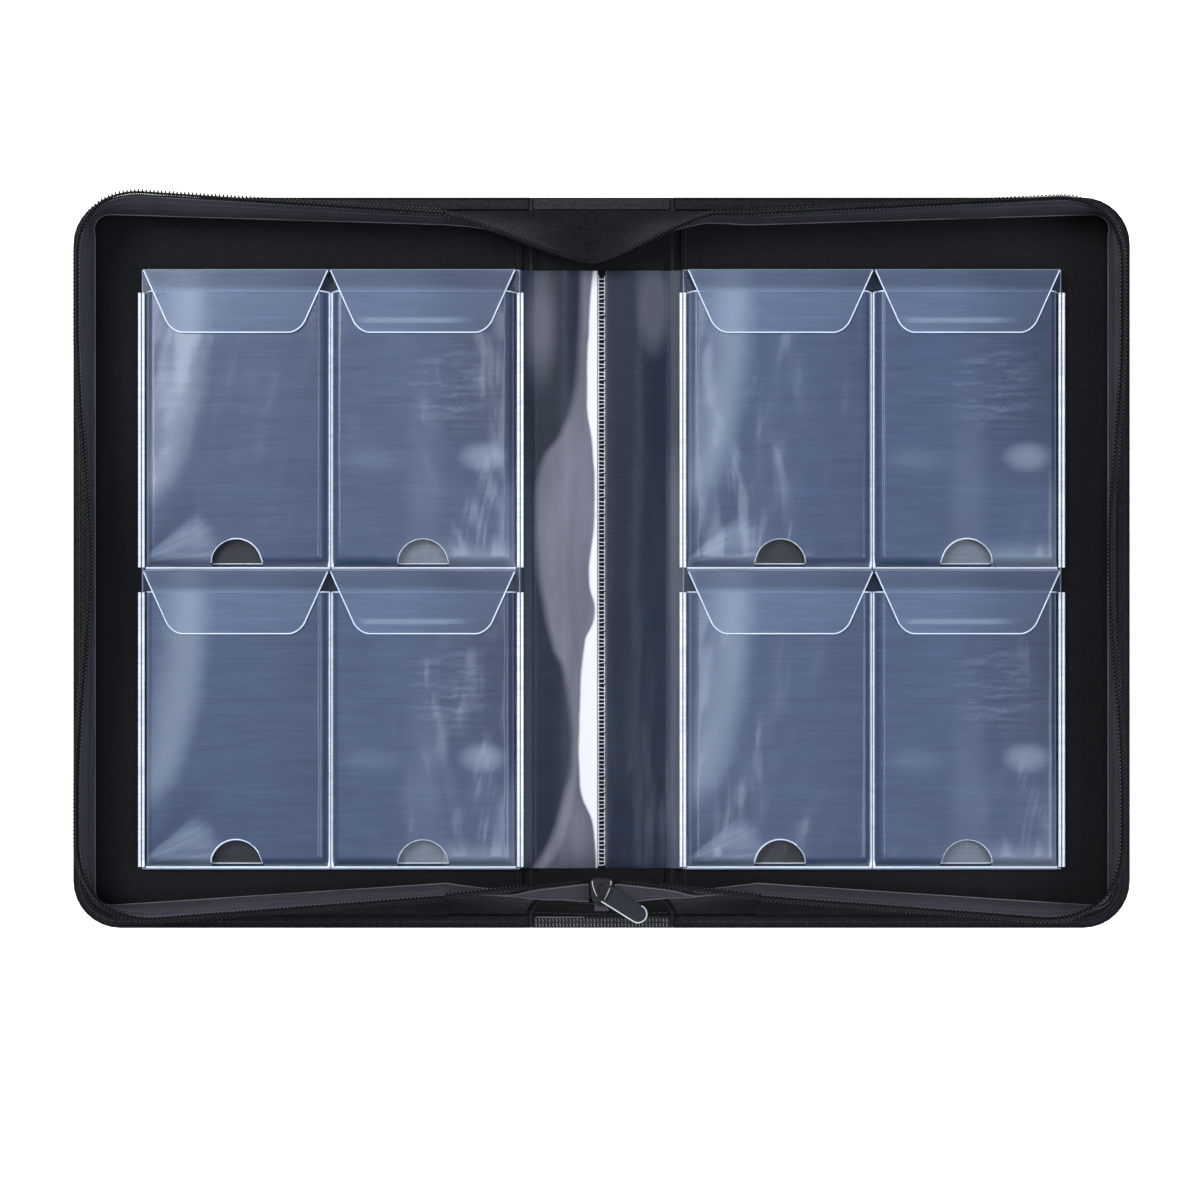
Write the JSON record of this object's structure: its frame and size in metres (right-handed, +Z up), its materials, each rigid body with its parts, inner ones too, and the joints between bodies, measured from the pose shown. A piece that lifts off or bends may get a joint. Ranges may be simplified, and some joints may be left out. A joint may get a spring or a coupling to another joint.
{
  "type": "graded card binder",
  "caption": "Zip-around binder lying open, with film leaves whose raised pockets hold graded card slabs under small hinged flaps",
  "frame": {"origin": "on the table under the middle of the open case", "axes": "+X right across the open covers, +Y towards the head edge, +Z up out of the open case"},
  "size_m": [0.538, 0.372, 0.0412],
  "materials": {
    "leather": "pebbled, satin",
    "board": "raw grey board",
    "lining": "fine plain weave",
    "tape": "woven zip tape",
    "coil": "moulded nylon coil",
    "film": "clear flexible film",
    "slider": "black satin",
    "rubber": "smooth matt"
  },
  "bodies": {
    "spine": {"spine_skin": "leather", "spine_board": "board", "spine_lining": "lining", "head_hem": "leather", "foot_hem": "leather", "head_gusset": "leather", "head_zip_tape": "tape", "foot_gusset": "leather", "foot_patch": "leather", "front_foot_tape": "tape", "back_foot_tape": "tape", "binding_strip": "leather", "front_margin_film": "film", "back_margin_film": "film", "zip_tongue": "tape", "chain_tail": "coil"},
    "front_cover": {"front_cover_skin": "leather", "front_cover_board": "board", "front_cover_lining": "lining", "front_cover_piping": "leather", "front_zip_gusset": "leather", "front_zip_tape": "tape", "front_zip_coil": "coil", "front_lower_leaf": "film"},
    "front_leaf": {"front_leaf_core": "film", "front_hidden_pockets": "film", "front_upper_inner_pocket": "film", "front_upper_outer_pocket": "film", "front_lower_inner_pocket": "film", "front_lower_outer_pocket": "film"},
    "front_upper_inner_flap": {"front_upper_inner_flap": "film"},
    "front_upper_outer_flap": {"front_upper_outer_flap": "film"},
    "front_lower_inner_flap": {"front_lower_inner_flap": "film"},
    "front_lower_outer_flap": {"front_lower_outer_flap": "film"},
    "back_cover": {"back_cover_skin": "leather", "back_cover_board": "board", "back_cover_lining": "lining", "back_cover_piping": "leather", "back_zip_gusset": "leather", "back_zip_tape": "tape", "back_zip_coil": "coil", "back_lower_leaf": "film"},
    "back_leaf": {"back_leaf_core": "film", "back_hidden_pockets": "film", "back_upper_inner_pocket": "film", "back_upper_outer_pocket": "film", "back_lower_inner_pocket": "film", "back_lower_outer_pocket": "film"},
    "back_upper_inner_flap": {"back_upper_inner_flap": "film"},
    "back_upper_outer_flap": {"back_upper_outer_flap": "film"},
    "back_lower_inner_flap": {"back_lower_inner_flap": "film"},
    "back_lower_outer_flap": {"back_lower_outer_flap": "film"},
    "slider": {"zip_slider": "slider"},
    "tab": {"pull_tab": "rubber"}
  },
  "joints": [
    {"name": "front_cover_hinge", "type": "hinge", "parent": "spine", "child": "front_cover", "pos_m": [-0.036, 0, 0.0015], "axis": [0, 1, 0], "range_deg": [0, 90], "deforming": ["head_gusset", "head_zip_tape", "foot_gusset", "foot_patch", "front_foot_tape", "front_margin_film"]},
    {"name": "front_leaf_turn", "type": "hinge", "parent": "front_cover", "child": "front_leaf", "pos_m": [-0.041, 0, 0.0147], "axis": [0, -1, 0], "range_deg": [-180, 0]},
    {"name": "front_upper_inner_flap_hinge", "type": "hinge", "parent": "front_leaf", "child": "front_upper_inner_flap", "pos_m": [-0.09, 0.1475, 0.0139], "axis": [-1, 0, 0], "range_deg": [0, 133]},
    {"name": "front_upper_outer_flap_hinge", "type": "hinge", "parent": "front_leaf", "child": "front_upper_outer_flap", "pos_m": [-0.184, 0.1475, 0.0139], "axis": [-1, 0, 0], "range_deg": [0, 133]},
    {"name": "front_lower_inner_flap_hinge", "type": "hinge", "parent": "front_leaf", "child": "front_lower_inner_flap", "pos_m": [-0.09, -0.004, 0.0139], "axis": [-1, 0, 0], "range_deg": [0, 133]},
    {"name": "front_lower_outer_flap_hinge", "type": "hinge", "parent": "front_leaf", "child": "front_lower_outer_flap", "pos_m": [-0.184, -0.004, 0.0139], "axis": [-1, 0, 0], "range_deg": [0, 133]},
    {"name": "back_cover_hinge", "type": "hinge", "parent": "spine", "child": "back_cover", "pos_m": [0.036, 0, 0.0015], "axis": [0, -1, 0], "range_deg": [0, 90], "deforming": ["back_foot_tape", "back_margin_film"]},
    {"name": "back_leaf_turn", "type": "hinge", "parent": "back_cover", "child": "back_leaf", "pos_m": [0.041, 0, 0.0193], "axis": [0, 1, 0], "range_deg": [-180, 0]},
    {"name": "back_upper_inner_flap_hinge", "type": "hinge", "parent": "back_leaf", "child": "back_upper_inner_flap", "pos_m": [0.09, 0.1475, 0.0139], "axis": [-1, 0, 0], "range_deg": [0, 133]},
    {"name": "back_upper_outer_flap_hinge", "type": "hinge", "parent": "back_leaf", "child": "back_upper_outer_flap", "pos_m": [0.184, 0.1475, 0.0139], "axis": [-1, 0, 0], "range_deg": [0, 133]},
    {"name": "back_lower_inner_flap_hinge", "type": "hinge", "parent": "back_leaf", "child": "back_lower_inner_flap", "pos_m": [0.09, -0.004, 0.0139], "axis": [-1, 0, 0], "range_deg": [0, 133]},
    {"name": "back_lower_outer_flap_hinge", "type": "hinge", "parent": "back_leaf", "child": "back_lower_outer_flap", "pos_m": [0.184, -0.004, 0.0139], "axis": [-1, 0, 0], "range_deg": [0, 133]},
    {"name": "slider_travel", "type": "slide", "parent": "spine", "child": "slider", "axis": [0, -1, 0], "range_m": [0, 0.003]},
    {"name": "pull_tab_swing", "type": "hinge", "parent": "slider", "child": "tab", "pos_m": [0, -0.1615, 0.0393], "axis": [0.5299, 0.848, 0], "range_deg": [-110, 0]}
  ]
}
